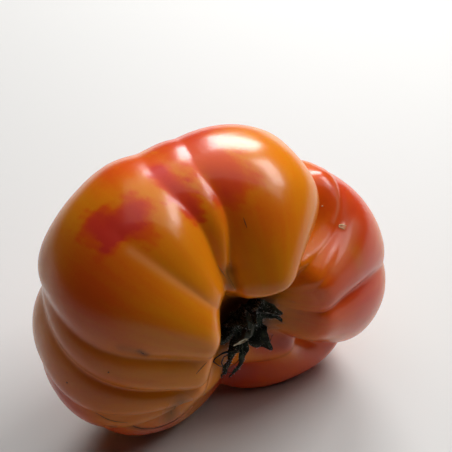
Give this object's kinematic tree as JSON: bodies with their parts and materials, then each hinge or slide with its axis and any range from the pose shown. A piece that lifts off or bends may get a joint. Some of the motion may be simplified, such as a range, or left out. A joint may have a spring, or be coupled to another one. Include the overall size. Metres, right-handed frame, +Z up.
{
  "type": "ribbed beefsteak tomato",
  "caption": "Large ribbed slicing tomato, as picked, standing on its rim, with deep lobes round a hollow that holds the dried calyx and the broken stalk.",
  "frame": {"origin": "on the surface the tomato rests on, under the middle of its box", "axes": "+Z up, X along the fruit's long side, the stem end faces -Y and the blossom end +Y"},
  "size_m": [0.1178, 0.0685, 0.0965],
  "materials": {
    "skin": "smooth waxy skin, orange and amber with red patches, glossy",
    "dried_sepal": "dry, crumpled, dark green to black, matte",
    "stalk": "dry, ribbed, dull green-brown with a paler broken end"
  },
  "bodies": {
    "root": {"fruit": "skin", "calyx": "dried_sepal", "stem_stub": "stalk"}
  },
  "joints": []
}
